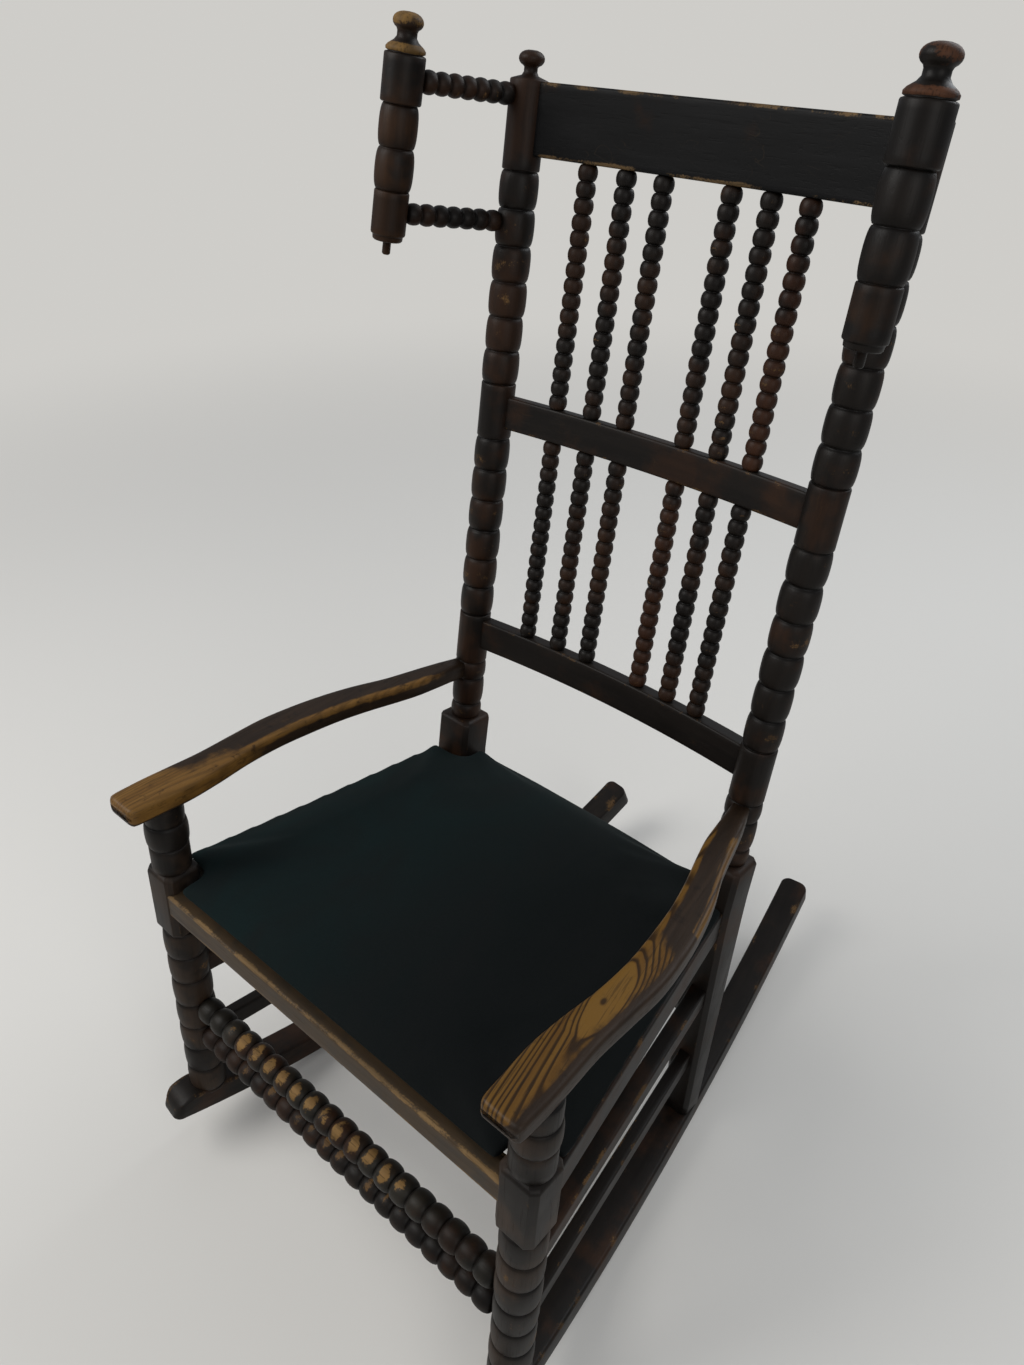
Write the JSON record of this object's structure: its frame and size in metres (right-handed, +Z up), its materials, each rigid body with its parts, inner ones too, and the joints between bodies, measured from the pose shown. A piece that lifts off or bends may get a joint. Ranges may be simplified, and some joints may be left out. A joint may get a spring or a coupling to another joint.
{
  "type": "rocking chair",
  "caption": "Bobbin-turned wooden rocking chair with a spindle back, head wings on short rods, serpentine arms and a thin velvet seat pad.",
  "frame": {"origin": "on the floor, under the middle of the chair's box", "axes": "+X to the right of someone looking at the front, -Y the way the sitter faces, +Z up"},
  "size_m": [0.5222, 0.7836, 1.1314],
  "materials": {
    "dark_stained_wood": "satin, worn dark stain",
    "worn_golden_wood": "satin, stain worn off to the grain",
    "dark_green_velvet": "matte pile",
    "bare_softwood": "bare",
    "screw_steel": "plain"
  },
  "bodies": {
    "root": {"rocker_left": "dark_stained_wood", "rocker_right": "dark_stained_wood", "front_leg_left": "dark_stained_wood", "front_leg_right": "dark_stained_wood", "back_post_left": "dark_stained_wood", "back_post_right": "dark_stained_wood", "crest_rail": "dark_stained_wood", "middle_back_rail": "dark_stained_wood", "lower_back_rail": "dark_stained_wood", "upper_spindle_1": "dark_stained_wood", "upper_spindle_2": "dark_stained_wood", "upper_spindle_3": "dark_stained_wood", "upper_spindle_4": "dark_stained_wood", "upper_spindle_5": "dark_stained_wood", "upper_spindle_6": "dark_stained_wood", "lower_spindle_1": "dark_stained_wood", "lower_spindle_2": "dark_stained_wood", "lower_spindle_3": "dark_stained_wood", "lower_spindle_4": "dark_stained_wood", "lower_spindle_5": "dark_stained_wood", "lower_spindle_6": "dark_stained_wood", "wing_post_left": "dark_stained_wood", "wing_post_right": "dark_stained_wood", "wing_rod_upper_left": "dark_stained_wood", "wing_rod_lower_left": "dark_stained_wood", "wing_rod_upper_right": "dark_stained_wood", "wing_rod_lower_right": "dark_stained_wood", "arm_left": "worn_golden_wood", "arm_right": "worn_golden_wood", "seat_rail_front": "dark_stained_wood", "seat_rail_back": "dark_stained_wood", "seat_rail_left": "dark_stained_wood", "seat_rail_right": "dark_stained_wood", "front_stretcher_upper": "dark_stained_wood", "front_stretcher_lower": "dark_stained_wood", "side_stretcher_upper_left": "dark_stained_wood", "side_stretcher_lower_left": "dark_stained_wood", "side_stretcher_upper_right": "dark_stained_wood", "side_stretcher_lower_right": "dark_stained_wood", "back_stretcher": "dark_stained_wood", "seat_board": "bare_softwood", "seat_pad": "dark_green_velvet", "corner_block_front_left": "bare_softwood", "corner_block_front_right": "bare_softwood", "corner_block_back_left": "bare_softwood", "corner_block_back_right": "bare_softwood", "seat_screw_front_left": "screw_steel", "seat_screw_front_right": "screw_steel", "seat_screw_back_left": "screw_steel", "seat_screw_back_right": "screw_steel"}
  },
  "joints": []
}
